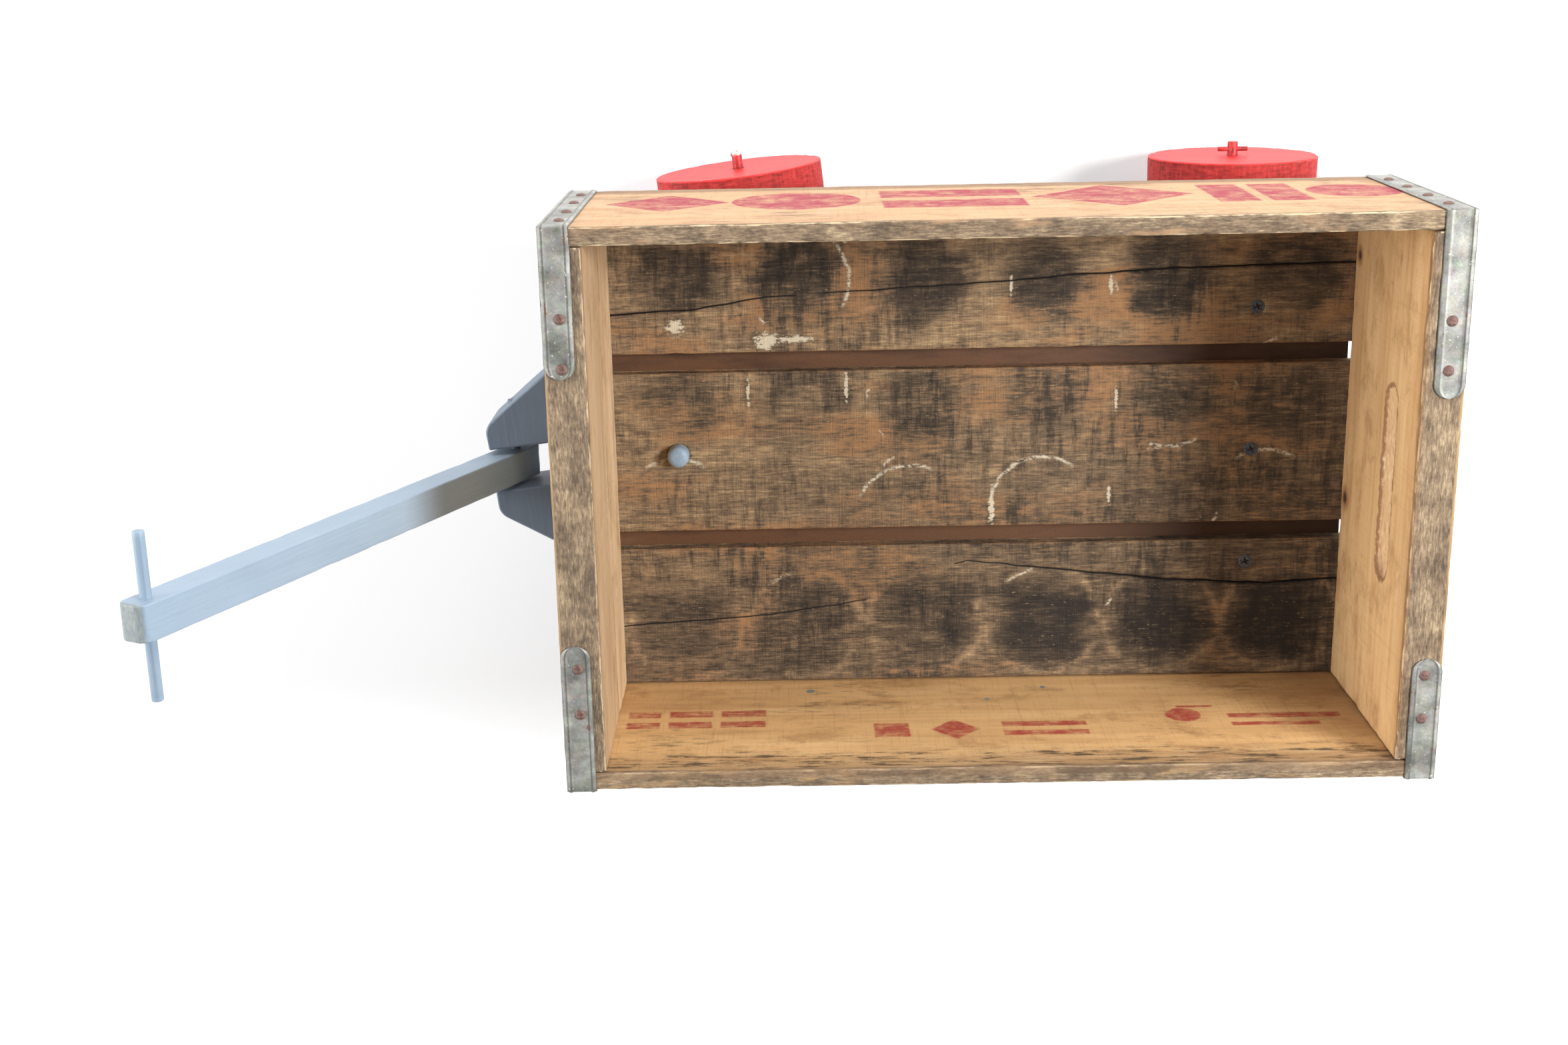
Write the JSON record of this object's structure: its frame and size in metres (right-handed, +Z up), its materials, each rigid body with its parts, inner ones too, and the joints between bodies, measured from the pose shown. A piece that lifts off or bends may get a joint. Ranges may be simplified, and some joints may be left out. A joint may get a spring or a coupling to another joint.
{
  "type": "toy pull wagon",
  "caption": "Child's pull wagon made from a shallow wooden bottle crate, with wooden disc wheels, pivoting front axle and a hinged handle with a cross grip.",
  "frame": {"origin": "bottom centre of the whole wagon's box, on the ground the wheels stand on", "axes": "+Z up, -X towards the handle and the steered wheels, +Y towards the wagon's left side"},
  "size_m": [0.6594, 0.3358, 0.391],
  "materials": {
    "pine": "weathered, stencilled",
    "old_pine": "weathered",
    "stained_pine": "stained dark, rough",
    "hardboard": "smooth",
    "galvanised": "galvanised, dull",
    "rust": "rusted",
    "black_steel": "black",
    "bright_steel": "bright broken end",
    "blue_paint": "blue-grey satin paint",
    "red_paint": "red satin paint",
    "bare_pine": "bare"
  },
  "bodies": {
    "crate": {"front_end_board": "old_pine", "rear_end_board": "old_pine", "left_side_board": "pine", "right_side_board": "pine", "left_floor_slat": "stained_pine", "centre_floor_slat": "stained_pine", "right_floor_slat": "stained_pine", "bed_panel": "hardboard", "front_left_strap": "galvanised", "front_right_strap": "galvanised", "rear_left_strap": "galvanised", "rear_right_strap": "galvanised", "front_left_rim_nail_1": "rust", "front_left_rim_nail_2": "rust", "front_right_rim_nail_1": "rust", "front_right_rim_nail_2": "rust", "rear_left_rim_nail_1": "rust", "rear_left_rim_nail_2": "rust", "rear_right_rim_nail_1": "rust", "rear_right_rim_nail_2": "rust", "front_left_side_nail_1": "rust", "front_left_side_nail_2": "rust", "front_left_side_nail_3": "rust", "front_left_side_nail_4": "rust", "front_right_side_nail_1": "rust", "front_right_side_nail_2": "rust", "front_right_side_nail_3": "rust", "front_right_side_nail_4": "rust", "rear_left_side_nail_1": "rust", "rear_left_side_nail_2": "rust", "rear_left_side_nail_3": "rust", "rear_left_side_nail_4": "rust", "rear_right_side_nail_1": "rust", "rear_right_side_nail_2": "rust", "rear_right_side_nail_3": "rust", "rear_right_side_nail_4": "rust", "rear_bolster": "blue_paint", "left_bolster_screw": "black_steel", "centre_bolster_screw": "black_steel", "right_bolster_screw": "black_steel", "rear_axle": "red_paint", "rear_left_axle_pin": "red_paint", "rear_right_axle_pin": "red_paint", "king_pin": "blue_paint", "king_pin_peg": "bare_pine"},
    "steering_gear": {"steering_block": "blue_paint", "front_axle_block": "blue_paint", "left_axle_block_screw": "black_steel", "right_axle_block_screw": "black_steel", "front_axle": "red_paint", "front_left_axle_pin": "bright_steel", "front_right_axle_pin": "red_paint", "handle_hinge_pin": "blue_paint"},
    "handle": {"handle_bar": "blue_paint", "handle_grip": "blue_paint"},
    "front_left_wheel": {"front_left_wheel": "red_paint"},
    "front_right_wheel": {"front_right_wheel": "red_paint"},
    "rear_left_wheel": {"rear_left_wheel": "red_paint"},
    "rear_right_wheel": {"rear_right_wheel": "red_paint"}
  },
  "joints": [
    {"name": "steering", "type": "hinge", "parent": "crate", "child": "steering_gear", "pos_m": [-0.082, -0.00091, 0.1026], "axis": [0, 0, 1], "range_deg": [-31, 19]},
    {"name": "handle_raise", "type": "hinge", "parent": "steering_gear", "child": "handle", "pos_m": [-0.18283, -0.01261, 0.1025], "axis": [0, 1, 0], "range_deg": [-78.8, 31.2]},
    {"name": "front_left_wheel_spin", "type": "hinge", "parent": "steering_gear", "child": "front_left_wheel", "pos_m": [-0.04432, 0.14664, 0.0504], "axis": [-0.1045, 0.9945, 0], "continuous": true},
    {"name": "front_right_wheel_spin", "type": "hinge", "parent": "steering_gear", "child": "front_right_wheel", "pos_m": [-0.01447, -0.13739, 0.0504], "axis": [-0.1045, 0.9945, 0], "continuous": true},
    {"name": "rear_left_wheel_spin", "type": "hinge", "parent": "crate", "child": "rear_left_wheel", "pos_m": [0.2535, 0.14849, 0.0504], "axis": [0, 1, 0], "continuous": true},
    {"name": "rear_right_wheel_spin", "type": "hinge", "parent": "crate", "child": "rear_right_wheel", "pos_m": [0.2535, -0.15031, 0.0504], "axis": [0, 1, 0], "continuous": true}
  ]
}
